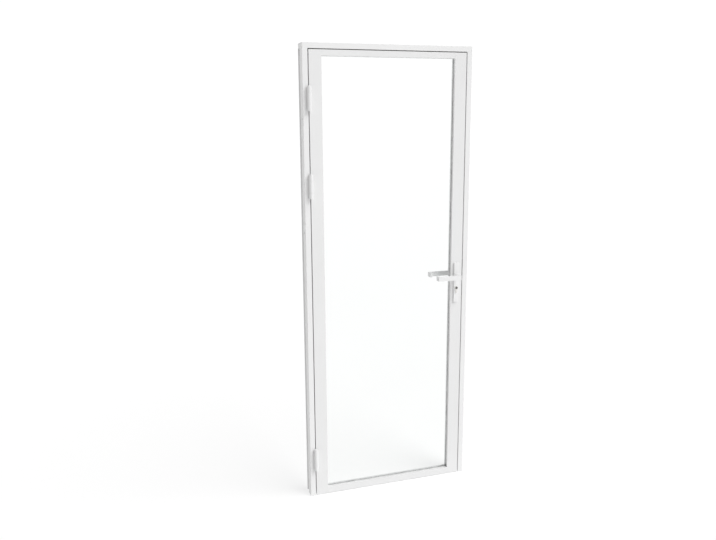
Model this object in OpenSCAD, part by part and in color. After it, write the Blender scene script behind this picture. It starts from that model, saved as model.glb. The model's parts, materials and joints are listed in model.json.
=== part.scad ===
// Framed glass door: a single-glazed aluminium leaf on three butt hinges in its own
// aluminium frame, with a mortice lock and a pair of lever handles on backplates.
// Millimetres. X runs across the door, Y from the opening side to the stop side, Z up.
// The origin is on the floor, at the middle of the frame's width and of the leaf's thickness.

/* [Overall] */
// Width over the outer faces of the frame
frame_w = 800; // [700:1:1000]
// Height from the floor to the top of the frame
frame_h = 2100; // [1750:1:2520]
// Depth of the frame profile, front to back
frame_d = 73; // [70:1:90]

/* [Frame profile] */
// Width of the frame's front face, on the jambs and the head
face_w = 24; // [22:1:32]
// Wall thickness of the frame and leaf profiles
wall = 2; // [1.6:0.1:2.4]
// How far the stop stands in from the rebate face
stop_w = 14; // [12:1:18]
// Depth of the anchor groove along the outer side
groove_depth = 7; // [5:1:9]
// Thickness of the flat caps on the ends of the head
cap_t = 2; // [1.5:0.5:3]
// Size of the square section of the cleats inside the frame's corners
frame_cleat_t = 12; // [10:1:16]
// Length of each leg of those cleats, from the frame's corner
frame_cleat_leg = 100; // [70:5:140]

/* [Leaf] */
// Thickness of the leaf, front to back
leaf_t = 34; // [32:1:40]
// Width of the stiles' front face
stile_w = 57; // [54:1:70]
// Height of the top rail's front face
top_rail_h = 26; // [24:1:60]
// Height of the bottom rail's front face
bottom_rail_h = 32; // [24:1:90]
// Width of the glazing lip, and of the bead behind the glass
lip_w = 11; // [9:1:12]
// Gap between the leaf and the frame, on both sides and at the head
side_gap = 4; // [3.5:0.5:5]
// Gap between the floor and the bottom rail
floor_gap = 4; // [3:0.5:8]
// Length of the cleats inside the rails
leaf_cleat_l = 56; // [40:1:80]

/* [Glazing] */
// Thickness of the glass
glass_t = 8; // [6:1:10]
// Room between the edge of the glass and the profile around it
glass_edge = 3; // [2:0.5:4]
// Thickness of the gaskets on either side of the glass
gasket_t = 2.5; // [2:0.5:3]
// How far the gaskets show past the glazing lip
gasket_show = 1; // [0.5:0.5:1.5]
// Wall thickness of the glazing beads
bead_wall = 1.6; // [1.2:0.2:2]
// Length of the setting blocks under the glass
block_l = 60; // [40:5:100]
// Distance from the corner of the glass to the near end of a setting block
block_inset = 100; // [60:5:150]

/* [Seals] */
// Gap between the leaf's rear face and the stop, which the seal fills
seal_gap = 4; // [3:0.5:6]
// Width of the slot that holds the seal in the stop
slot_w = 4; // [3:0.5:5]
// Depth of that slot
slot_depth = 4.5; // [3.5:0.5:6]
// Width of the seal over the slot
seal_w = 8; // [6:0.5:9]
// Clearance between the seal's crest and the closed leaf
seal_clear = 0.3; // [0.2:0.1:0.5]
// Clearance between the bottom seal's blades and the floor
sweep_clear = 0.6; // [0.5:0.1:1.5]
// Thickness of the bottom seal's web and blades
sweep_t = 1.2; // [1:0.1:1.6]
// How far the blades are set in from the leaf's two faces
sweep_inset = 2; // [1:0.5:5]

/* [Hinges] */
// Height of the bottom hinge's centre over the floor
hinge_low = 187; // [150:1:240]
// Distance of the second hinge's centre below the top of the frame
hinge_second = 613; // [500:1:700]
// Distance of the top hinge's centre below the top of the frame
hinge_top = 234; // [180:1:300]
// Height of a hinge
hinge_h = 106; // [90:1:130]
// Radius of the knuckles
hinge_r = 10; // [8:0.5:12]
// Height of the middle knuckle, which the leaf carries
knuckle_mid = 52; // [40:1:60]
// Gap between neighbouring knuckles
knuckle_gap = 0.4; // [0.3:0.1:0.8]
// Clearance between the knuckles and the faces behind them
hinge_clear = 0.3; // [0.3:0.1:1]
// Radius of the hinge pins
hinge_pin_r = 4; // [3:0.5:5]
// Gap between the two wings of a closed hinge
wing_gap = 0.4; // [0.3:0.1:0.6]
// How far the wings reach behind the leaf's front face
wing_reach = 31; // [26:1:32]
// Distance between the screws of a wing
wing_pitch = 35; // [28:1:38]

/* [Lock] */
// Distance from the leaf's edge to the spindle and the cylinder
backset = 31; // [30:0.5:33]
// Height of the lever's axis over the floor
lever_z = 1033; // [950:1:1100]
// Distance of the cylinder's axis below the lever's axis
cylinder_drop = 57; // [57:1:72]
// Thickness of the lock case across the leaf
case_t = 16; // [14:0.5:18]
// Wall thickness of the lock case
case_wall = 1.2; // [1:0.1:1.6]
// How far the case reaches above the lever's axis
case_above = 42; // [38:1:50]
// How far the case reaches below the cylinder's axis
case_below = 36; // [32:1:50]
// Width of the faceplate
faceplate_w = 20; // [18:0.5:22]
// Height of the faceplate
faceplate_h = 210; // [205:1:235]
// Radius of the follower where it turns in the case
follower_r = 9; // [8.5:0.1:9.5]
// Side of the square spindle
spindle_s = 8; // [7:0.5:9]
// Radius of the follower's nose, which draws the latch
nose_r = 14.6; // [14:0.1:15]
// Height of the latch bolt
latch_h = 24; // [18:1:26]
// Thickness of the latch bolt
latch_t = 11; // [9:0.5:12]
// How far the latch stands out of the faceplate, and so its travel
latch_out = 10; // [9:0.5:11]
// Height of the deadbolt
deadbolt_h = 20; // [16:1:20]
// Thickness of the deadbolt
deadbolt_t = 9; // [8:0.5:10]
// How far the deadbolt is thrown
deadbolt_out = 20; // [16:1:20]
// Reach of the cylinder's cam
cam_r = 11; // [10:0.2:11.2]

/* [Lever handles] */
// Width of the backplates
plate_w = 24; // [24:0.5:30]
// Height of the backplates
plate_h = 194; // [194:1:230]
// Thickness of the backplates
plate_t = 8; // [7:0.5:10]
// Distance of the backplates' centre below the lever's axis
plate_drop = 30; // [28:1:36]
// Wall thickness of the backplates
plate_wall = 2.5; // [2:0.1:3]
// Length of a lever, from its axis to its end
lever_len = 110; // [90:1:140]
// Height of the lever's bar
bar_h = 22; // [18:1:26]
// Thickness of the lever's bar
bar_t = 10; // [8:0.5:12]
// Distance from the leaf's face to the middle of the bar
bar_out = 44; // [38:1:60]
// How far the lever's end returns towards the leaf
return_depth = 29; // [20:1:32]
// Radius of the lever's neck
neck_r = 8; // [7.5:0.5:9]

/* [Strike] */
// Thickness of the strike plate
strike_t = 1.5; // [1.2:0.1:2]
// Height of the strike plate
strike_h = 180; // [170:1:200]
// Height of the lip that guides the latch in
strike_lip_h = 30; // [26:1:36]

/* [Wall fixings] */
// Radius of the wall fixing holes through the jambs
fixing_r = 4; // [3:0.5:5]
// Height of the lowest fixing hole
fixing_low = 280; // [270:1:300]
// Distance between fixing holes
fixing_pitch = 500; // [480:1:500]
// Distance of the fixing holes behind the leaf's front face
fixing_back = 21; // [18:1:24]

/* [Clearances] */
// Radial running clearance of pins, journals and plugs
run_fit = 0.05; // [0.02:0.01:0.1]
// Clearance around pieces that slide or pass through a cut-out
slide_fit = 0.2; // [0.1:0.05:0.4]
// Radius of the shank of the countersunk screws
screw_r = 2.4; // [2:0.1:2.5]
// Radius of their heads
screw_head_r = 4.4; // [4:0.1:4.6]

/* [Hidden] */
$fn = 48;

// Leaf and frame
front_y = -leaf_t / 2;
back_y = front_y + frame_d;
reveal_x = frame_w / 2 - face_w;
stop_x = reveal_x - stop_w;
leaf_x = reveal_x - side_gap;
leaf_top = frame_h - face_w - side_gap;
leaf_h = leaf_top - floor_gap;
jamb_h = frame_h - face_w;
head_x = frame_w / 2 - cap_t;
stop_front = leaf_t + seal_gap;
rear_v = stop_front + slot_depth + wall;
tube_x = leaf_x - stile_w + lip_w;
sight_x = leaf_x - stile_w;
lip_t = (leaf_t - glass_t) / 2 - gasket_t;
lip_back = front_y + lip_t;
chamber_x = tube_x + wall;
edge_in_x = leaf_x - wall;
corner_screw_y = [for (i = [1, 3]) lip_back + i * (leaf_t / 2 - wall - lip_back) / 4];
cut_over = 1;
socket_r = 1.7;
socket_depth = 1.5;
cap_plug_l = 3 * cap_t;

// Glass: lowest and highest edges, half width
glass_low = floor_gap + bottom_rail_h - lip_w + glass_edge;
glass_high = leaf_top - top_rail_h + lip_w - glass_edge;
glass_x = tube_x - glass_edge;
sight_low = floor_gap + bottom_rail_h;
sight_high = leaf_top - top_rail_h;
bead_y = glass_t / 2 + gasket_t;
bead_across = [-cut_over, bead_wall, bead_wall];
bead_upright = [bead_wall, bead_wall, -cut_over];
corner_head_t = 2.5;

// Hinges
hinge_x = -(leaf_x + side_gap / 2);
hinge_y = front_y - hinge_clear - hinge_r;
hinge_z = [hinge_low, frame_h - hinge_second, frame_h - hinge_top];
wing_t = (side_gap - wing_gap) / 2;
knuckle_end = (hinge_h - knuckle_mid) / 2 - knuckle_gap;
wing_margin = 0.5;
wing_screw_y = front_y + wing_reach / 2;
wing_screw_l = 14;
pin_head_r = 6;
pin_head_t = 3;

// Lock
axis_x = leaf_x - backset;
cylinder_z = lever_z - cylinder_drop;
case_low = cylinder_z - case_below;
case_high = lever_z + case_above;
case_y = case_t / 2;
case_room = 0.3;
case_x = chamber_x + case_room;
faceplate_z = lever_z - plate_drop;
faceplate_r = faceplate_w / 2;
tab_h = 13;
tab_t = 2.5;
tab_over = 3;
tab_y = faceplate_r + tab_over;
tab_screw_in = 8;
tab_screw_z = faceplate_h / 2 - tab_screw_in;
tab_screw_l = 10;
hub_gap = 0.1;
hub_step = 1.3;
hub_flange_r = follower_r + hub_step;
nose_lean = 20;
nose_half = 1.5;
nose_y = 3;
latch_shoulder = 10;
latch_bevel = 8.5;
latch_flat = 2;
lug_gap = 0.5;
lug_t = 2.2;
lug_rise = hub_flange_r + lug_gap;
nose_face = (lug_rise * sin(nose_lean) - nose_half) / cos(nose_lean);
lug_x = axis_x + nose_face - lug_gap - lug_t;
lug_z = lever_z + lug_rise;
tail_gap = 2.4;
tail_z = lever_z + nose_r + tail_gap;
tail_t = 5;
tail_y = 2.5;
deadbolt_sunk = 0.5;
deadbolt_tip = leaf_x - deadbolt_sunk;
deadbolt_hold = 13.5;
deadbolt_l = deadbolt_out + deadbolt_hold;
deadbolt_end = deadbolt_tip - deadbolt_l;
deadbolt_rise = 7;
deadbolt_z = cylinder_z + cam_r + deadbolt_rise;
talon_z = cylinder_z + cam_r + lug_gap;
talon_clear = 1.5;
talon_l = deadbolt_hold - wall - talon_clear;

// Euro profile cylinder
cylinder_proud = 3;
cylinder_y = leaf_t / 2 + plate_t + cylinder_proud;
cylinder_r = 8.5;
cylinder_web = 10;
cylinder_h = 33;
cam_y = 5;
cam_slot = cam_r + lug_gap;
cam_disc_r = 8;
cam_nose_t = 5;
plug_r = 6.5;
keyway_w = 2;
keyway_h = 8;
keyway_l = 22;
cylinder_screw_drop = 19;
cylinder_screw_z = cylinder_z - cylinder_screw_drop;
cylinder_screw_l = 37;

// Backplates and levers, as seen from one face of the leaf
plate_top = plate_h / 2 - plate_drop;
plate_bottom = -plate_h / 2 - plate_drop;
bolt_inset = 13;
bolt_z = [plate_top - bolt_inset, plate_bottom + bolt_inset];
bolt_r = 2.5;
bolt_hole_r = 2.6;
bolt_head_r = 4.6;
bolt_head_t = 2.4;
boss_r = 5;
boss_bottom = 2.5;
bush_wall = 1.5;
bush_r = neck_r + run_fit + bush_wall;
bush_proud = 0.8;
bush_in = 0.5;
neck_in = 2;
bar_over = 10;
bar_in = bar_out - bar_t / 2;
bar_face = bar_out + bar_t / 2;
neck_bend = 6;
spindle_short = 4;
spindle_y = leaf_t / 2 + bar_in - spindle_short;
grub_r = 2.5;
grub_out = 9;
grub_y = leaf_t / 2 + plate_t + grub_out;
grub_clear = 0.1;

// Strike
strike_raise = 20;
strike_z = lever_z - plate_drop + strike_raise;
strike_front = 3;
strike_back = 33;
strike_screw_in = 12;
strike_screw_z = strike_h / 2 - strike_screw_in;
strike_screw_l = 12;
strike_screw_y = front_y + (strike_back - strike_front) / 2;
strike_room = 1.5;
fixing_z = [for (i = [0:3]) fixing_low + i * fixing_pitch];

paint = [0.93, 0.93, 0.93];
steel = [0.75, 0.76, 0.78];
rubber = [0.25, 0.25, 0.26];
gasket = [0.84, 0.84, 0.84];
zinc = [0.62, 0.63, 0.65];
brass = [0.78, 0.7, 0.5];
nylon = [0.85, 0.85, 0.83];

// ---- Shared shapes ----

// A box given by its lowest and highest corners
module block(low, high) {
    translate(low) cube(high - low);
}

// A round bar along Y between two depths
module bar_y(x, z, y0, y1, r) {
    translate([x, y1, z]) rotate([90, 0, 0]) cylinder(h = y1 - y0, r = r);
}

// A hexagonal socket for a key, open at z = 0
module socket() {
    translate([0, 0, -socket_depth]) cylinder(h = socket_depth + cut_over, r = socket_r, $fn = 6);
}

// A countersunk screw, its head flush with z = 0 and its shank pointing down, or its hole
module csk_screw(shank_l, grow = 0) {
    head_t = screw_head_r - screw_r;
    difference() {
        union() {
            translate([0, 0, -head_t])
                cylinder(h = head_t, r1 = screw_r + grow, r2 = screw_head_r + grow);
            translate([0, 0, -shank_l])
                cylinder(h = shank_l - head_t / 2, r = screw_r + grow);
        }
        if (grow == 0) socket();
    }
}

// Section of a jamb or head: x runs in from the outer face, y back from the front face
module frame_section() {
    slot_x = face_w + stop_w / 2 - slot_w / 2;
    difference() {
        polygon([
            [0, 0], [face_w, 0], [face_w, stop_front],
            [face_w + stop_w, stop_front], [face_w + stop_w, frame_d], [0, frame_d]
        ]);
        translate([wall, wall]) square([face_w - 2 * wall, rear_v - 2 * wall]);
        translate([groove_depth + wall, rear_v])
            square([face_w + stop_w - groove_depth - 2 * wall, frame_d - wall - rear_v]);
        translate([-cut_over, rear_v])
            square([groove_depth + cut_over, frame_d - wall - rear_v]);
        translate([slot_x, stop_front - cut_over]) square([slot_w, slot_depth + cut_over]);
    }
}

// Section of a stile or rail: x runs in from the leaf's edge, y back from its front face
module leaf_section(face) {
    tube_w = face - lip_w;
    difference() {
        polygon([
            [0, 0], [face, 0], [face, lip_t], [tube_w, lip_t], [tube_w, leaf_t], [0, leaf_t]
        ]);
        translate([wall, wall]) square([tube_w - 2 * wall, leaf_t - 2 * wall]);
        translate([tube_w, wall]) square([lip_w - wall, lip_t - 2 * wall]);
    }
}

// Section of a rebate seal: y = 0 is the stop's face, the crest points to -y
module seal_section() {
    crest = seal_gap - seal_clear;
    base_t = 1;
    translate([-slot_w / 2, 0]) square([slot_w, slot_depth]);
    translate([-seal_w / 2, -base_t]) square([seal_w, base_t]);
    translate([0, -crest / 2]) circle(r = crest / 2);
}

// Turns a section so that it runs along X: its x then points down, its y back
module along_x(length) {
    translate([-length / 2, 0, 0]) rotate([0, 90, 0]) linear_extrude(length) children();
}

// ---- Frame ----

module jamb() {
    translate([-frame_w / 2, front_y, 0]) linear_extrude(jamb_h) frame_section();
}

module fixing_holes() {
    for (z = fixing_z)
        if (z < jamb_h - frame_cleat_leg)
            translate([reveal_x - cut_over, front_y + fixing_back, z]) rotate([0, 90, 0])
                cylinder(h = face_w + 2 * cut_over, r = fixing_r);
}

module hinge_screw_places(side) {
    for (z = hinge_z, i = [-1:1])
        translate([hinge_x + side * wing_gap / 2, wing_screw_y, z + i * wing_pitch])
            rotate([0, -side * 90, 0]) children();
}

module frame_wing_screws(grow) {
    hinge_screw_places(-1) csk_screw(wing_screw_l, grow);
}

module leaf_wing_screws(grow) {
    hinge_screw_places(1) csk_screw(wing_screw_l, grow);
}

module frame_hinge_jamb() {
    color(paint) difference() {
        jamb();
        mirror([1, 0, 0]) fixing_holes();
        frame_wing_screws(run_fit);
    }
}

module frame_lock_jamb() {
    color(paint) difference() {
        mirror([1, 0, 0]) jamb();
        fixing_holes();
        strike_openings(strike_room / 2, reveal_x - cut_over, reveal_x + wall + cut_over);
        strike_screw_places() csk_screw(strike_screw_l, run_fit);
    }
}

// The head runs over the jambs. Its stop ends between theirs, and the cleats pass its lower wall
module frame_head() {
    color(paint) difference() {
        translate([0, front_y, frame_h]) along_x(2 * head_x) frame_section();
        for (side = [0, 1]) mirror([side, 0, 0]) {
            block([stop_x, front_y - cut_over, jamb_h - stop_w - cut_over],
                  [head_x + cut_over, back_y + cut_over, jamb_h]);
            frame_cleat(slide_fit);
        }
    }
}

module head_end_caps() {
    plug = wall + slide_fit;
    color(paint) for (side = [0, 1]) mirror([side, 0, 0]) difference() {
        union() {
            block([head_x, front_y, jamb_h], [frame_w / 2, back_y, frame_h]);
            block([head_x - cap_plug_l, front_y + plug, jamb_h + plug],
                  [head_x, front_y + rear_v - plug, frame_h - plug]);
        }
        block([head_x - cap_plug_l - cut_over, front_y + 2 * plug, jamb_h + 2 * plug],
              [head_x, front_y + rear_v - 2 * plug, frame_h - 2 * plug]);
    }
}

// One cleat, an L of square bar inside the jamb's and the head's front chambers
module frame_cleat(grow) {
    far_x = head_x - cap_plug_l - cap_t;
    high = frame_h - wall - slide_fit;
    near = front_y + (rear_v - frame_cleat_t) / 2 - grow;
    far = near + frame_cleat_t + 2 * grow;
    low_x = far_x - frame_cleat_t;
    block([low_x - grow, near, frame_h - frame_cleat_leg], [far_x + grow, far, high]);
    block([frame_w / 2 - frame_cleat_leg, near, high - frame_cleat_t - grow], [far_x, far, high]);
}

module frame_corner_cleats() {
    color(zinc) for (side = [0, 1]) mirror([side, 0, 0]) frame_cleat(0);
}

module jamb_seal() {
    translate([-reveal_x + stop_w / 2, front_y + stop_front, 0]) linear_extrude(jamb_h) seal_section();
}

module seal_hinge_jamb() {
    color(rubber) jamb_seal();
}

module seal_lock_jamb() {
    color(rubber) mirror([1, 0, 0]) jamb_seal();
}

module seal_head() {
    color(rubber) translate([0, front_y + stop_front, jamb_h - stop_w / 2])
        along_x(2 * stop_x) seal_section();
}

// ---- Strike ----

module strike_screw_places() {
    for (i = [-1, 1])
        translate([reveal_x, strike_screw_y, strike_z + i * strike_screw_z])
            rotate([0, -90, 0]) translate([0, 0, strike_t]) children();
}

// The cut-outs that the latch and the deadbolt enter, through anything between x0 and x1
module strike_openings(grow, x0, x1) {
    latch = [latch_t / 2 + strike_room / 2 + grow, latch_h / 2 + strike_room + grow];
    bolt = [deadbolt_t / 2 + strike_room / 2 + grow, deadbolt_h / 2 + strike_room + grow];
    bolt_mid = deadbolt_z + deadbolt_h / 2;
    block([x0, -latch[0], lever_z - latch[1]], [x1, latch[0], lever_z + latch[1]]);
    block([x0, -bolt[0], bolt_mid - bolt[1]], [x1, bolt[0], bolt_mid + bolt[1]]);
}

module strike_plate() {
    face_x = reveal_x - strike_t;
    color(steel) difference() {
        union() {
            block([face_x, front_y + strike_front, strike_z - strike_h / 2],
                  [reveal_x, front_y + strike_back, strike_z + strike_h / 2]);
            block([face_x, front_y, lever_z - strike_lip_h / 2],
                  [reveal_x, front_y + strike_front, lever_z + strike_lip_h / 2]);
        }
        strike_openings(0, face_x - cut_over, reveal_x + cut_over);
        strike_screw_places() csk_screw(strike_screw_l, run_fit);
    }
}

module strike_screws() {
    color(steel) strike_screw_places() csk_screw(strike_screw_l);
}

// ---- Hinges ----

// Knuckles between two heights: a round barrel and the tongue that joins it to its wing
module knuckle(z0, z1, side) {
    tongue_x = side > 0 ? wing_gap / 2 : -side_gap / 2;
    translate([hinge_x, hinge_y, z0]) cylinder(h = z1 - z0, r = hinge_r);
    block([hinge_x + tongue_x, hinge_y, z0],
          [hinge_x + tongue_x + wing_t, front_y + wing_margin, z1]);
}

// One wing. side = -1 is screwed to the jamb, side = 1 to the leaf
module hinge_wing(mid, side) {
    low = mid - hinge_h / 2;
    high = mid + hinge_h / 2;
    wing_x = hinge_x + (side > 0 ? wing_gap / 2 : -side_gap / 2);
    color(paint) difference() {
        union() {
            block([wing_x, front_y + wing_margin, low],
                  [wing_x + wing_t, front_y + wing_reach, high]);
            if (side > 0) knuckle(mid - knuckle_mid / 2, mid + knuckle_mid / 2, side);
            else {
                knuckle(low, low + knuckle_end, side);
                knuckle(high - knuckle_end, high, side);
            }
        }
        translate([hinge_x, hinge_y, low - cut_over])
            cylinder(h = hinge_h + 2 * cut_over, r = hinge_pin_r + run_fit);
        hinge_screw_places(side) csk_screw(wing_screw_l, run_fit);
    }
}

module hinge_frame_wing_low() { hinge_wing(hinge_z[0], -1); }
module hinge_frame_wing_mid() { hinge_wing(hinge_z[1], -1); }
module hinge_frame_wing_top() { hinge_wing(hinge_z[2], -1); }
module hinge_leaf_wing_low() { hinge_wing(hinge_z[0], 1); }
module hinge_leaf_wing_mid() { hinge_wing(hinge_z[1], 1); }
module hinge_leaf_wing_top() { hinge_wing(hinge_z[2], 1); }

// A loose pin with a flat head that rests on the top knuckle
module hinge_pin(mid) {
    color(paint) translate([hinge_x, hinge_y, mid - hinge_h / 2]) {
        cylinder(h = hinge_h, r = hinge_pin_r);
        translate([0, 0, hinge_h]) cylinder(h = pin_head_t, r = pin_head_r);
    }
}

module hinge_pin_low() { hinge_pin(hinge_z[0]); }
module hinge_pin_mid() { hinge_pin(hinge_z[1]); }
module hinge_pin_top() { hinge_pin(hinge_z[2]); }

module hinge_frame_screws() {
    color(steel) frame_wing_screws(0);
}

module hinge_leaf_screws() {
    color(steel) leaf_wing_screws(0);
}

// ---- Leaf ----

module stile() {
    translate([-leaf_x, front_y, floor_gap]) linear_extrude(leaf_h) leaf_section(stile_w);
}

// Screws through the stile's inner wall into the cleats, heads inside the chamber
module corner_screw_places() {
    rail_mid = [
        floor_gap + (bottom_rail_h - lip_w) / 2,
        leaf_top - (top_rail_h - lip_w) / 2
    ];
    for (side = [0, 1]) mirror([side, 0, 0])
        for (z = rail_mid, y = corner_screw_y)
            translate([chamber_x, y, z]) rotate([0, 90, 0]) children();
}

module leaf_hinge_stile() {
    color(paint) difference() {
        stile();
        leaf_wing_screws(run_fit);
        corner_screw_places() cylinder(h = 3 * wall, r = screw_r + run_fit, center = true);
    }
}

module leaf_lock_stile() {
    color(paint) difference() {
        mirror([1, 0, 0]) stile();
        block([edge_in_x - cut_over, -faceplate_r, faceplate_z - faceplate_h / 2],
              [leaf_x + cut_over, faceplate_r, faceplate_z + faceplate_h / 2]);
        bar_y(axis_x, lever_z, -leaf_t, leaf_t, hub_flange_r);
        euro_profile(-leaf_t, leaf_t, slide_fit);
        for (z = bolt_z) bar_y(axis_x, lever_z + z, -leaf_t, leaf_t, bolt_hole_r);
        corner_screw_places() cylinder(h = 3 * wall, r = screw_r + run_fit, center = true);
    }
}

// Rails fit between the stiles and are cut back in front, around the stiles' glazing lips
module rail(face) {
    difference() {
        along_x(2 * tube_x) leaf_section(face);
        for (side = [0, 1]) mirror([side, 0, 0])
            block([sight_x, -cut_over, -face - cut_over], [tube_x + cut_over, lip_t, cut_over]);
    }
}

module leaf_top_rail() {
    color(paint) translate([0, front_y, leaf_top]) rail(top_rail_h);
}

module leaf_bottom_rail() {
    color(paint) translate([0, front_y, floor_gap]) mirror([0, 0, 1]) rail(bottom_rail_h);
}

// Blocks that fill the ends of the rails' chambers and take the screws from the stiles
module leaf_corner_cleats() {
    inner = leaf_t / 2 - wall - slide_fit;
    spans = [
        [floor_gap, floor_gap + bottom_rail_h - lip_w],
        [leaf_top - top_rail_h + lip_w, leaf_top]
    ];
    color(zinc) difference() {
        for (side = [0, 1]) mirror([side, 0, 0]) for (s = spans)
            block([tube_x - leaf_cleat_l, -inner, s[0] + wall + slide_fit],
                  [tube_x, inner, s[1] - wall - slide_fit]);
        for (side = [0, 1]) mirror([side, 0, 0])
            block([sight_x - slide_fit, -leaf_t, 0], [leaf_x, lip_back + slide_fit, frame_h]);
        corner_screw_places() cylinder(h = 2 * leaf_cleat_l, r = screw_r + run_fit, center = true);
    }
}

module leaf_corner_screws() {
    color(zinc) corner_screw_places() difference() {
        union() {
            translate([0, 0, -leaf_cleat_l / 2]) cylinder(h = leaf_cleat_l / 2, r = screw_r);
            cylinder(h = corner_head_t, r = screw_head_r);
        }
        translate([0, 0, corner_head_t]) socket();
    }
}

module glass_pane() {
    color([0.8, 0.9, 0.9, 0.3])
        block([-glass_x, -glass_t / 2, glass_low], [glass_x, glass_t / 2, glass_high]);
}

module setting_blocks() {
    far_x = glass_x - block_inset;
    color(rubber) for (side = [0, 1]) mirror([side, 0, 0])
        block([far_x - block_l, -glass_t / 2, glass_low - glass_edge],
              [far_x, glass_t / 2, glass_low]);
}

// A strip all round the glass, from its edge to just past the sight line
module gasket_ring(y) {
    color(gasket) difference() {
        block([-glass_x, y, glass_low], [glass_x, y + gasket_t, glass_high]);
        block([-sight_x + gasket_show, y - cut_over, sight_low + gasket_show],
              [sight_x - gasket_show, y + gasket_t + cut_over, sight_high - gasket_show]);
    }
}

module gasket_front() { gasket_ring(-glass_t / 2 - gasket_t); }
module gasket_back() { gasket_ring(glass_t / 2); }

// A hollow glazing bead, closed round, between two corners of its box
module bead(low, high, hollow) {
    color(paint) difference() {
        block(low, high);
        block(low + hollow, high - hollow);
    }
}

module bead_bottom() {
    bead([-tube_x, bead_y, sight_low - lip_w], [tube_x, leaf_t / 2, sight_low], bead_across);
}

module bead_top() {
    bead([-tube_x, bead_y, sight_high], [tube_x, leaf_t / 2, sight_high + lip_w], bead_across);
}

module bead_left() {
    bead([-tube_x, bead_y, sight_low], [-sight_x, leaf_t / 2, sight_high], bead_upright);
}

module bead_right() {
    bead([sight_x, bead_y, sight_low], [tube_x, leaf_t / 2, sight_high], bead_upright);
}

// A web under the bottom rail with a blade near each face of the leaf
module bottom_seal() {
    half = leaf_t / 2 - sweep_inset;
    color(gasket) difference() {
        block([-leaf_x + sweep_inset, -half, sweep_clear], [leaf_x - sweep_inset, half, floor_gap]);
        block([-leaf_x, -half + 2 * sweep_t, -cut_over],
              [leaf_x, half - 2 * sweep_t, floor_gap - sweep_t]);
    }
}

// ---- Lock ----

// The profile cylinder's outline, a circle with a web below it, between two depths
module euro_profile(y0, y1, grow) {
    foot_z = cylinder_z + cylinder_r - cylinder_h + cylinder_web / 2;
    bar_y(axis_x, cylinder_z, y0, y1, cylinder_r + grow);
    bar_y(axis_x, foot_z, y0, y1, cylinder_web / 2 + grow);
    block([axis_x - cylinder_web / 2 - grow, y0, foot_z],
          [axis_x + cylinder_web / 2 + grow, y1, cylinder_z]);
}

// The openings that the lock's side plates share
module case_openings() {
    bar_y(axis_x, lever_z, -case_t, case_t, follower_r + run_fit);
    euro_profile(-case_t, case_t, slide_fit);
}

module lock_case() {
    color(zinc) difference() {
        block([case_x, case_wall - case_y, case_low], [edge_in_x, case_y, case_high]);
        block([case_x + case_wall, -case_y, case_low + case_wall],
              [edge_in_x + cut_over, case_y - case_wall, case_high - case_wall]);
        case_openings();
        translate([edge_in_x, 0, cylinder_screw_z]) rotate([0, 90, 0])
            cylinder(h = cut_over, r = screw_r + slide_fit, center = true);
    }
}

module lock_cover() {
    color(zinc) difference() {
        block([case_x, -case_y, case_low], [edge_in_x, case_wall - case_y, case_high]);
        case_openings();
    }
}

module faceplate_screw_places() {
    for (i = [-1, 1])
        translate([leaf_x, 0, faceplate_z + i * tab_screw_z]) rotate([0, 90, 0]) children();
}

module lock_faceplate() {
    bolt_mid = deadbolt_z + deadbolt_h / 2;
    latch = [latch_t / 2 + slide_fit, latch_h / 2 + slide_fit];
    bolt = [deadbolt_t / 2 + slide_fit, deadbolt_h / 2 + slide_fit];
    color(steel) difference() {
        block([edge_in_x, slide_fit - faceplate_r, faceplate_z - faceplate_h / 2 + slide_fit],
              [leaf_x, faceplate_r - slide_fit, faceplate_z + faceplate_h / 2 - slide_fit]);
        block([edge_in_x - cut_over, -latch[0], lever_z - latch[1]],
              [leaf_x + cut_over, latch[0], lever_z + latch[1]]);
        block([edge_in_x - cut_over, -bolt[0], bolt_mid - bolt[1]],
              [leaf_x + cut_over, bolt[0], bolt_mid + bolt[1]]);
        faceplate_screw_places() csk_screw(tab_screw_l, run_fit);
        translate([leaf_x, 0, cylinder_screw_z]) rotate([0, 90, 0]) csk_screw(tab_screw_l, run_fit);
    }
}

// Steel tabs behind the leaf's edge that the faceplate is screwed to
module lock_tabs() {
    color(zinc) difference() {
        for (i = [-1, 1])
            block([edge_in_x - tab_t, -tab_y, faceplate_z + i * tab_screw_z - tab_h / 2],
                  [edge_in_x, tab_y, faceplate_z + i * tab_screw_z + tab_h / 2]);
        faceplate_screw_places() csk_screw(tab_screw_l, run_fit);
    }
}

module faceplate_screws() {
    color(steel) faceplate_screw_places() csk_screw(tab_screw_l);
}

module cylinder_body() {
    bridge_z = cylinder_z - cam_slot;
    color(brass) difference() {
        euro_profile(-cylinder_y, cylinder_y, 0);
        bar_y(axis_x, cylinder_z, -2 * cylinder_y, 2 * cylinder_y, plug_r + run_fit);
        block([axis_x - cylinder_h, -cam_y, bridge_z],
              [axis_x + cylinder_h, cam_y, cylinder_z + cylinder_h]);
        translate([axis_x, 0, cylinder_screw_z]) rotate([0, 90, 0])
            cylinder(h = cylinder_h, r = screw_r + run_fit, center = true);
    }
}

module cylinder_screw() {
    color(steel) translate([leaf_x, 0, cylinder_screw_z]) rotate([0, 90, 0])
        csk_screw(cylinder_screw_l);
}

// One of the two plugs that a key turns
module plug(side) {
    color(brass) difference() {
        bar_y(axis_x, cylinder_z, side > 0 ? cam_y - hub_gap : -cylinder_y,
              side > 0 ? cylinder_y : hub_gap - cam_y, plug_r);
        translate([axis_x - keyway_w / 2, side > 0 ? cylinder_y - keyway_l : -cylinder_y - cut_over,
                   cylinder_z - keyway_h / 2])
            cube([keyway_w, keyway_l + cut_over, keyway_h]);
    }
}

module plug_front() { plug(-1); }
module plug_back() { plug(1); }

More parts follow.
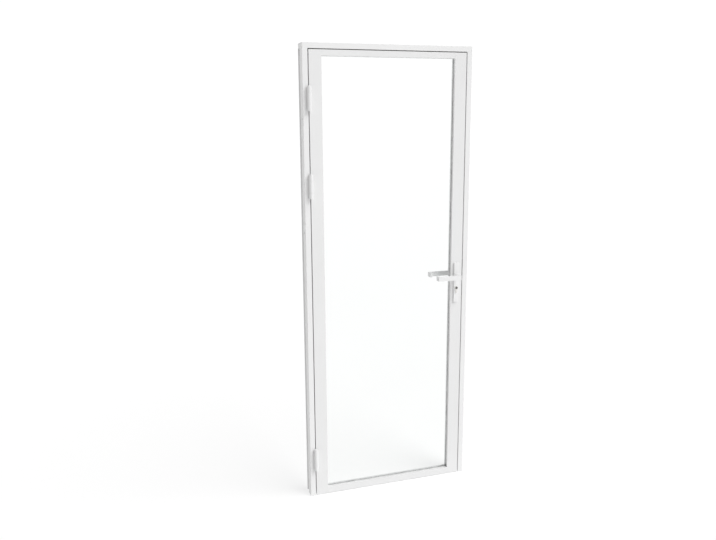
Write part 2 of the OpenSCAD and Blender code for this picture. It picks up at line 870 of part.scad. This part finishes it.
// The cam between the plugs, pointing down while the bolt is drawn
module cylinder_cam() {
    y = cam_y - hub_gap;
    color(zinc) {
        bar_y(axis_x, cylinder_z, -y, y, cam_disc_r);
        intersection() {
            bar_y(axis_x, cylinder_z, -y, y, cam_r);
            block([axis_x - cam_nose_t / 2, -y, cylinder_z - 2 * cam_r],
                  [axis_x + cam_nose_t / 2, y, cylinder_z]);
        }
    }
}

module deadbolt() {
    y = deadbolt_t / 2;
    color(steel) {
        block([deadbolt_end, -y, deadbolt_z], [deadbolt_tip, y, deadbolt_z + deadbolt_h]);
        block([deadbolt_end, -tail_y, talon_z], [deadbolt_end + talon_l, tail_y, deadbolt_z]);
    }
}

// The latch: a bevelled head, and a tail over the follower with the lug that the nose pushes
module latch_bolt() {
    y = latch_t / 2;
    tip = leaf_x + latch_out;
    root = leaf_x - latch_shoulder;
    color(steel) {
        translate([0, 0, lever_z - latch_h / 2]) linear_extrude(latch_h) polygon([
            [root, -y], [tip, -y], [tip, latch_flat - y], [tip - latch_bevel, y], [root, y]
        ]);
        block([root, -tail_y, lever_z], [root + tail_t, tail_y, tail_z + tail_t]);
        block([lug_x, -tail_y, tail_z], [root + tail_t, tail_y, tail_z + tail_t]);
        block([lug_x, -tail_y, lug_z], [lug_x + lug_t, tail_y, tail_z + tail_t]);
    }
}

// The follower: a journal in both side plates, a square hole, and a nose that leans to the leaf's edge
module follower() {
    in_case = case_y - case_wall - hub_gap;
    color(zinc) difference() {
        union() {
            bar_y(axis_x, lever_z, hub_gap - case_y, case_y - hub_gap, follower_r);
            bar_y(axis_x, lever_z, -in_case, in_case, hub_flange_r);
            translate([axis_x, 0, lever_z]) rotate([0, nose_lean, 0])
                block([-nose_half, -nose_y, 0], [nose_half, nose_y, nose_r]);
        }
        spindle_bar(case_t, run_fit);
    }
}

// ---- Handles ----

module spindle_bar(half_length, grow) {
    s = spindle_s / 2 + grow;
    block([axis_x - s, -half_length, lever_z - s], [axis_x + s, half_length, lever_z + s]);
}

module spindle() {
    color(zinc) spindle_bar(spindle_y, 0);
}

// Turns the children to the leaf's front (side = 0) or back (side = 1): y = 0 is the leaf's face
module on_face(side) {
    mirror([0, 1 - side, 0]) translate([axis_x, leaf_t / 2, lever_z]) children();
}

// A hollow backplate with a bored post for the bush and one for each bolt
module backplate(side) {
    half = plate_w / 2;
    color(paint) difference() {
        on_face(side) difference() {
            block([-half, 0, plate_bottom], [half, plate_t, plate_top]);
            difference() {
                block([plate_wall - half, -cut_over, plate_bottom + plate_wall],
                      [half - plate_wall, plate_t - plate_wall, plate_top - plate_wall]);
                for (z = bolt_z) bar_y(0, z, 0, plate_t, boss_r);
                bar_y(0, 0, 0, plate_t, bush_r + plate_wall);
            }
            bar_y(0, 0, -cut_over, plate_t + cut_over, bush_r + run_fit);
        }
        euro_profile(-2 * cylinder_y, 2 * cylinder_y, slide_fit);
        for (z = bolt_z) plate_bolt(z, run_fit);
    }
}

module plate_front() { backplate(0); }
module plate_back() { backplate(1); }

// A bolt from the back plate, countersunk there, into the blind post of the front plate
module plate_bolt(z, grow) {
    y0 = boss_bottom - leaf_t / 2 - plate_t - grow;
    y1 = leaf_t / 2 + plate_t;
    bar_y(axis_x, lever_z + z, y0, y1 - bolt_head_t / 2, bolt_r + grow);
    translate([axis_x, y1 - bolt_head_t, lever_z + z]) rotate([-90, 0, 0])
        cylinder(h = bolt_head_t, r1 = bolt_r + grow, r2 = bolt_head_r + grow);
}

module plate_bolts() {
    color(steel) for (z = bolt_z) difference() {
        plate_bolt(z, 0);
        translate([axis_x, leaf_t / 2 + plate_t, lever_z + z]) rotate([-90, 0, 0]) socket();
    }
}

// Nylon bushes in the plates, which the levers' necks turn in
module plate_bushes() {
    color(nylon) for (side = [0, 1]) on_face(side) difference() {
        bar_y(0, 0, bush_in, plate_t + bush_proud, bush_r);
        bar_y(0, 0, -cut_over, 2 * plate_t, neck_r + run_fit);
    }
}

// Outline of a lever seen from above: x along the bar, y away from the leaf
module lever_outline() {
    bend_y = bar_face - neck_bend;
    square_end = bar_over - neck_bend;
    translate([-lever_len, bar_in]) square([lever_len + square_end, bar_t]);
    translate([square_end, bar_in]) square([neck_bend, bar_t - neck_bend]);
    translate([square_end, bend_y]) circle(r = neck_bend);
    translate([-lever_len, bar_face - return_depth]) square([bar_t, return_depth]);
}

module lever(side) {
    color(paint) difference() {
        on_face(side) {
            translate([0, 0, -bar_h / 2]) linear_extrude(bar_h) lever_outline();
            bar_y(0, 0, neck_in, bar_out, neck_r);
        }
        spindle_bar(spindle_y + run_fit, run_fit);
        lever_grub(side, grub_r + run_fit, neck_r);
    }
}

module lever_front() { lever(0); }
module lever_back() { lever(1); }

// A set screw from below the neck to the spindle
module lever_grub(side, r, low) {
    y = side > 0 ? grub_y : -grub_y;
    top = lever_z - spindle_s / 2 - run_fit;
    translate([axis_x, y, lever_z - low]) cylinder(h = top - lever_z + low, r = r);
}

module lever_grub_screws() {
    low = neck_r - grub_clear;
    color(steel) for (side = [0, 1]) difference() {
        lever_grub(side, grub_r, low);
        translate([axis_x, side > 0 ? grub_y : -grub_y, lever_z - low])
            mirror([0, 0, 1]) socket();
    }
}

frame_hinge_jamb();
frame_lock_jamb();
frame_head();
head_end_caps();
frame_corner_cleats();
seal_hinge_jamb();
seal_lock_jamb();
seal_head();
strike_plate();
strike_screws();
hinge_frame_wing_low();
hinge_frame_wing_mid();
hinge_frame_wing_top();
hinge_pin_low();
hinge_pin_mid();
hinge_pin_top();
hinge_frame_screws();
leaf_hinge_stile();
leaf_lock_stile();
leaf_top_rail();
leaf_bottom_rail();
leaf_corner_cleats();
leaf_corner_screws();
glass_pane();
setting_blocks();
gasket_front();
gasket_back();
bead_left();
bead_right();
bead_top();
bead_bottom();
bottom_seal();
hinge_leaf_wing_low();
hinge_leaf_wing_mid();
hinge_leaf_wing_top();
hinge_leaf_screws();
lock_case();
lock_cover();
lock_faceplate();
lock_tabs();
faceplate_screws();
cylinder_body();
cylinder_screw();
plate_front();
plate_back();
plate_bolts();
plate_bushes();
lever_front();
lever_back();
spindle();
follower();
lever_grub_screws();
latch_bolt();
deadbolt();
plug_front();
plug_back();
cylinder_cam();
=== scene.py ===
import json
import math
import bpy
from mathutils import Matrix, Vector

# The looks of a framed glass door, in metres: white powder-coated profiles, clear glass,
# rubber seals and the metals inside the lock, on a pale floor in soft studio light.

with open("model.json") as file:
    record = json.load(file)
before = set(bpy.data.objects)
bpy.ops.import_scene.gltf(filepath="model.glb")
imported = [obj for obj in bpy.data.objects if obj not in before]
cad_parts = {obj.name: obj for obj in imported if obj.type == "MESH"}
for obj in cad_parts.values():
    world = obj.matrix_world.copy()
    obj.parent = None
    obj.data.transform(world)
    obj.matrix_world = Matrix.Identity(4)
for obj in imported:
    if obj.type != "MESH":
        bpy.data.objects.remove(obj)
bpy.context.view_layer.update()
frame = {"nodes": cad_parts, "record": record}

# ---- Driving values ----

# Colours, linear
FRAME_WHITE = (0.83, 0.83, 0.83)
LEAF_WHITE = (0.80, 0.80, 0.80)
HINGE_WHITE = (0.79, 0.79, 0.79)
HANDLE_WHITE = (0.84, 0.84, 0.84)
SEAL_DARK = (0.055, 0.055, 0.058)
GASKET_WHITE = (0.74, 0.74, 0.74)
NYLON_WHITE = (0.72, 0.72, 0.70)
STEEL = (0.36, 0.36, 0.37)
NICKEL = (0.78, 0.77, 0.75)
# The key plugs' nickel, darkened as painted shade for the keyholes
KEYHOLE_SHADE_NICKEL = (0.20, 0.195, 0.19)
ZINC = (0.46, 0.46, 0.48)
GLASS_TINT = (0.992, 0.997, 0.995)
FLOOR = (0.32, 0.32, 0.32)

# Noise: its roughness, and the range of values that counts
NOISE_ROUGHNESS = 0.55
NOISE_LOW, NOISE_HIGH = 0.3, 0.7

# The paint's detail and clear coat, a brushed line's stretch, and the glass
PEEL_SIZE = 0.0016
GRAIN_SIZE = 0.0006
CLOUD_SIZE = 0.22
COAT_WEIGHT = 0.2
COAT_ROUGHNESS = 0.25
LINE_STRETCH = 0.03
GLASS_IOR = 1.45

# Softened edges
EDGE_RADIUS = 0.0005
WELD_DISTANCE = 0.00001
EDGE_ANGLE = math.radians(32)

# Pieces whose look isn't their slot's. The key plugs get a darker nickel, painted shade standing
# in for the shade in their keyholes.
OWN_LOOKS = {"plug_front": "keyhole_shade_nickel", "plug_back": "keyhole_shade_nickel"}

# Camera, in metres, degrees and millimetres
CAMERA_AT = (-1.1663, -3.1330, 1.7775)
HEADING, DOWN, ROLL = 17.9625, 11.7375, -0.360
LENS_MM, SENSOR_MM = 36.452, 36.0

# Light: the way to the key, how wide it looks, and the strengths. The floor's glow is its own.
KEY_TOWARDS = Vector((0.62, -0.62, 0.95))
KEY_ANGLE = math.radians(50)
KEY_STRENGTH = 2.43
SKY_LIGHT = 0.32
SKY_SEEN = 1.04
FLOOR_GLOW = 0.72
FLOOR_SIDE = 60


# ---- Small helpers for shader graphs ----


def maths(tree, operation):
    """A maths node that does that operation."""
    n = tree.nodes.new("ShaderNodeMath")
    n.operation = operation
    return n


def empty_material(name):
    """A material with nothing but its output, as (material, tree, output)."""
    material = bpy.data.materials.new(name)
    material.use_nodes = True
    tree = material.node_tree
    tree.nodes.clear()
    return material, tree, tree.nodes.new("ShaderNodeOutputMaterial")


def new_material(name):
    """A material with one Principled shader, as (material, tree, shader)."""
    material, tree, out = empty_material(name)
    shader = tree.nodes.new("ShaderNodeBsdfPrincipled")
    tree.links.new(shader.outputs["BSDF"], out.inputs["Surface"])
    return material, tree, shader


def place(tree, stretch=(1, 1, 1)):
    """The point on the object, in metres, stretched along the axes for a grain."""
    where = tree.nodes.new("ShaderNodeTexCoord")
    scale = tree.nodes.new("ShaderNodeMapping")
    scale.inputs["Scale"].default_value = stretch
    tree.links.new(where.outputs["Object"], scale.inputs["Vector"])
    return scale.outputs["Vector"]


def noise(tree, vector, size, detail):
    """Noise with features of that size in metres."""
    n = tree.nodes.new("ShaderNodeTexNoise")
    n.inputs["Scale"].default_value = 1 / size
    n.inputs["Detail"].default_value = detail
    n.inputs["Roughness"].default_value = NOISE_ROUGHNESS
    tree.links.new(vector, n.inputs["Vector"])
    return n.outputs["Fac"]


def spread(tree, value, low, high):
    """Maps a noise value to low..high."""
    m = tree.nodes.new("ShaderNodeMapRange")
    m.inputs["From Min"].default_value = NOISE_LOW
    m.inputs["From Max"].default_value = NOISE_HIGH
    m.inputs["To Min"].default_value = low
    m.inputs["To Max"].default_value = high
    tree.links.new(value, m.inputs["Value"])
    return m.outputs["Result"]


def shades(tree, value, dark, light):
    """A colour between two shades, by a noise value."""
    ramp = tree.nodes.new("ShaderNodeValToRGB")
    low, high = ramp.color_ramp.elements
    low.position, high.position = NOISE_LOW, NOISE_HIGH
    low.color, high.color = (*dark, 1), (*light, 1)
    tree.links.new(value, ramp.inputs["Fac"])
    return ramp.outputs["Color"]


def bump(tree, height, strength, depth, under=None):
    """A bump from a height from 0 to 1, over another bump if there is one."""
    b = tree.nodes.new("ShaderNodeBump")
    b.inputs["Strength"].default_value = strength
    b.inputs["Distance"].default_value = depth
    tree.links.new(height, b.inputs["Height"])
    if under is not None:
        tree.links.new(under, b.inputs["Normal"])
    return b.outputs["Normal"]


def scaled(colour, share):
    return tuple(c * share for c in colour)


def finish(tree, shader, tone, rough, normal):
    """Links a Principled shader's colour, roughness and normal."""
    tree.links.new(tone, shader.inputs["Base Color"])
    tree.links.new(rough, shader.inputs["Roughness"])
    tree.links.new(normal, shader.inputs["Normal"])


# ---- Materials ----


def powder_coat(name, colour, roughness):
    """Smooth powder coat: faint orange peel, an uneven gloss and a slightly cloudy white."""
    material, tree, shader = new_material(name)
    point = place(tree)
    clouds = noise(tree, point, size=CLOUD_SIZE, detail=5)
    peel = noise(tree, point, size=PEEL_SIZE, detail=1.5)
    grain = noise(tree, point, size=GRAIN_SIZE, detail=2)
    tone = shades(tree, clouds, scaled(colour, 0.975), colour)
    rough = spread(tree, clouds, low=roughness - 0.05, high=roughness + 0.05)
    fine = bump(tree, grain, strength=0.05, depth=0.0001)
    finish(tree, shader, tone, rough, bump(tree, peel, strength=0.12, depth=0.0002, under=fine))
    shader.inputs["Coat Weight"].default_value = COAT_WEIGHT
    shader.inputs["Coat Roughness"].default_value = COAT_ROUGHNESS
    return material


def rubber(name, colour, roughness):
    """Extruded rubber: a dusty bloom over a fine matte skin."""
    material, tree, shader = new_material(name)
    point = place(tree)
    bloom = noise(tree, point, size=0.03, detail=4)
    skin = noise(tree, point, size=0.0008, detail=3)
    tone = shades(tree, bloom, scaled(colour, 0.85), scaled(colour, 1.15))
    rough = spread(tree, bloom, low=roughness - 0.08, high=roughness + 0.08)
    finish(tree, shader, tone, rough, bump(tree, skin, strength=0.2, depth=0.0002))
    return material


def brushed(name, colour, roughness, along):
    """Drawn or brushed metal, its lines running along one axis."""
    material, tree, shader = new_material(name)
    stretch = [1, 1, 1]
    stretch["XYZ".index(along)] = LINE_STRETCH
    lines = noise(tree, place(tree, stretch), size=0.0007, detail=3)
    clouds = noise(tree, place(tree), size=0.02, detail=4)
    tone = shades(tree, lines, scaled(colour, 0.88), scaled(colour, 1.08))
    rough = spread(tree, clouds, low=roughness - 0.06, high=roughness + 0.08)
    finish(tree, shader, tone, rough, bump(tree, lines, strength=0.12, depth=0.0001))
    shader.inputs["Metallic"].default_value = 1.0
    return material


def cast_metal(name, colour):
    """Die-cast zinc: a grainy, dull skin with darker patches."""
    material, tree, shader = new_material(name)
    point = place(tree)
    patches = noise(tree, point, size=0.012, detail=5)
    grain = noise(tree, point, size=0.0009, detail=3)
    tone = shades(tree, patches, scaled(colour, 0.8), scaled(colour, 1.1))
    rough = spread(tree, patches, low=0.45, high=0.6)
    finish(tree, shader, tone, rough, bump(tree, grain, strength=0.3, depth=0.0002))
    shader.inputs["Metallic"].default_value = 1.0
    return material


def matte_plastic(name, colour):
    """Moulded nylon: a waxy, slightly grained white."""
    material, tree, shader = new_material(name)
    point = place(tree)
    clouds = noise(tree, point, size=0.01, detail=3)
    grain = noise(tree, point, size=0.0005, detail=2)
    tone = shades(tree, clouds, scaled(colour, 0.95), colour)
    rough = spread(tree, grain, low=0.42, high=0.52)
    finish(tree, shader, tone, rough, bump(tree, grain, strength=0.15, depth=0.0001))
    return material


def clear_glass(name):
    """A clear pane: light goes straight through, and each outer face mirrors a little of it."""
    material, tree, out = empty_material(name)
    through = tree.nodes.new("ShaderNodeBsdfTransparent")
    mirror = tree.nodes.new("ShaderNodeBsdfGlossy")
    mix = tree.nodes.new("ShaderNodeMixShader")
    fresnel = tree.nodes.new("ShaderNodeFresnel")
    fresnel.inputs["IOR"].default_value = GLASS_IOR
    side = tree.nodes.new("ShaderNodeNewGeometry")
    front = maths(tree, "SUBTRACT")
    front.inputs[0].default_value = 1.0
    tree.links.new(side.outputs["Backfacing"], front.inputs[1])
    share = maths(tree, "MULTIPLY")
    tree.links.new(fresnel.outputs["Fac"], share.inputs[0])
    tree.links.new(front.outputs["Value"], share.inputs[1])
    haze = noise(tree, place(tree), size=0.35, detail=4)
    tint = shades(tree, haze, scaled(GLASS_TINT, 0.995), GLASS_TINT)
    tree.links.new(tint, through.inputs["Color"])
    tree.links.new(spread(tree, haze, low=0.0, high=0.04), mirror.inputs["Roughness"])
    tree.links.new(share.outputs["Value"], mix.inputs["Fac"])
    tree.links.new(through.outputs["BSDF"], mix.inputs[1])
    tree.links.new(mirror.outputs["BSDF"], mix.inputs[2])
    tree.links.new(mix.outputs["Shader"], out.inputs["Surface"])
    return material


def materials():
    """One material for each of the record's slots, and a darker nickel for the key plugs,
    painted shade for their keyholes.
    """
    return {
        "frame_paint": powder_coat("frame_paint", FRAME_WHITE, 0.42),
        "leaf_paint": powder_coat("leaf_paint", LEAF_WHITE, 0.42),
        "hinge_paint": powder_coat("hinge_paint", HINGE_WHITE, 0.48),
        "handle_paint": powder_coat("handle_paint", HANDLE_WHITE, 0.32),
        "clear_glass": clear_glass("clear_glass"),
        "rebate_seal": rubber("rebate_seal", SEAL_DARK, 0.7),
        "glazing_gasket": rubber("glazing_gasket", GASKET_WHITE, 0.65),
        "steel": brushed("steel", STEEL, 0.32, "Z"),
        "nickel": brushed("nickel", NICKEL, 0.26, "Y"),
        # Darker nickel on the key plugs: painted shade for their keyholes
        "keyhole_shade_nickel": brushed("keyhole_shade_nickel", KEYHOLE_SHADE_NICKEL, 0.34, "Y"),
        "cast_zinc": cast_metal("cast_zinc", ZINC),
        "nylon": matte_plastic("nylon", NYLON_WHITE),
    }


def soften_edges(o):
    """Rounds a piece's sharp edges a little and shades it by its faces' size."""
    weld = o.modifiers.new("weld", "WELD")
    weld.merge_threshold = WELD_DISTANCE
    bevel = o.modifiers.new("bevel", "BEVEL")
    bevel.width = EDGE_RADIUS
    bevel.segments = 2
    bevel.limit_method = "ANGLE"
    bevel.angle_limit = EDGE_ANGLE
    bevel.use_clamp_overlap = True
    normals = o.modifiers.new("normals", "WEIGHTED_NORMAL")
    normals.keep_sharp = True
    normals.weight = 50


def dress_nodes():
    """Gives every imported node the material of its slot, and softens what has visible edges."""
    looks = materials()
    for part in frame["record"]["subparts"]:
        o = frame["nodes"][part["node"]]
        o.data.materials.clear()
        look = OWN_LOOKS.get(part["node"], part["material_slot"])
        o.data.materials.append(looks[look])
        if part["material_slot"] != "clear_glass":
            soften_edges(o)


# ---- Stage ----


def floor():
    """A large pale floor with a barely uneven tone. Its own glow keeps the shadows faint."""
    half = FLOOR_SIDE / 2
    mesh = bpy.data.meshes.new("floor")
    corners = [(-half, -half, 0), (half, -half, 0), (half, half, 0), (-half, half, 0)]
    mesh.from_pydata(corners, [], [(0, 1, 2, 3)])
    o = bpy.data.objects.new("floor", mesh)
    bpy.context.scene.collection.objects.link(o)
    material, tree, shader = new_material("floor")
    clouds = noise(tree, place(tree), size=0.8, detail=3)
    tree.links.new(shades(tree, clouds, scaled(FLOOR, 0.995), FLOOR),
                   shader.inputs["Base Color"])
    shader.inputs["Roughness"].default_value = 0.9
    shader.inputs["Specular IOR Level"].default_value = 0.1
    shader.inputs["Emission Color"].default_value = (1, 1, 1, 1)
    shader.inputs["Emission Strength"].default_value = FLOOR_GLOW
    mesh.materials.append(material)


def sky():
    """A white surround. What it shows is whiter than the light it gives, for a pale backdrop."""
    world = bpy.data.worlds.new("studio")
    bpy.context.scene.world = world
    world.use_nodes = True
    tree = world.node_tree
    tree.nodes.clear()
    out = tree.nodes.new("ShaderNodeOutputWorld")
    light = tree.nodes.new("ShaderNodeBackground")
    light.inputs["Strength"].default_value = SKY_LIGHT
    seen = tree.nodes.new("ShaderNodeBackground")
    seen.inputs["Strength"].default_value = SKY_SEEN
    for b in (light, seen):
        b.inputs["Color"].default_value = (1, 1, 1, 1)
    path = tree.nodes.new("ShaderNodeLightPath")
    either = maths(tree, "MAXIMUM")
    tree.links.new(path.outputs["Is Camera Ray"], either.inputs[0])
    tree.links.new(path.outputs["Is Glossy Ray"], either.inputs[1])
    mix = tree.nodes.new("ShaderNodeMixShader")
    tree.links.new(either.outputs["Value"], mix.inputs["Fac"])
    tree.links.new(light.outputs["Background"], mix.inputs[1])
    tree.links.new(seen.outputs["Background"], mix.inputs[2])
    tree.links.new(mix.outputs["Shader"], out.inputs["Surface"])


def key_light():
    """A very large, even light from the right and the front, so its shadows are soft."""
    data = bpy.data.lights.new("key", "SUN")
    data.angle = KEY_ANGLE
    data.energy = KEY_STRENGTH
    o = bpy.data.objects.new("key", data)
    bpy.context.scene.collection.objects.link(o)
    o.rotation_mode = "QUATERNION"
    o.rotation_quaternion = KEY_TOWARDS.to_track_quat("Z", "Y")


def camera():
    heading, down, roll = (math.radians(a) for a in (HEADING, DOWN, ROLL))
    forward = Vector((math.sin(heading) * math.cos(down),
                      math.cos(heading) * math.cos(down), -math.sin(down)))
    level = Vector((math.cos(heading), -math.sin(heading), 0))
    upright = level.cross(forward)
    right = level * math.cos(roll) + upright * math.sin(roll)
    up = upright * math.cos(roll) - level * math.sin(roll)
    data = bpy.data.cameras.new("camera")
    data.lens = LENS_MM
    data.sensor_width = SENSOR_MM
    o = bpy.data.objects.new("camera", data)
    bpy.context.scene.collection.objects.link(o)
    turn = Matrix((right, up, -forward)).transposed().to_4x4()
    o.matrix_world = Matrix.Translation(CAMERA_AT) @ turn
    bpy.context.scene.camera = o


dress_nodes()
floor()
sky()
key_light()
camera()
bpy.context.scene.view_settings.view_transform = "Standard"
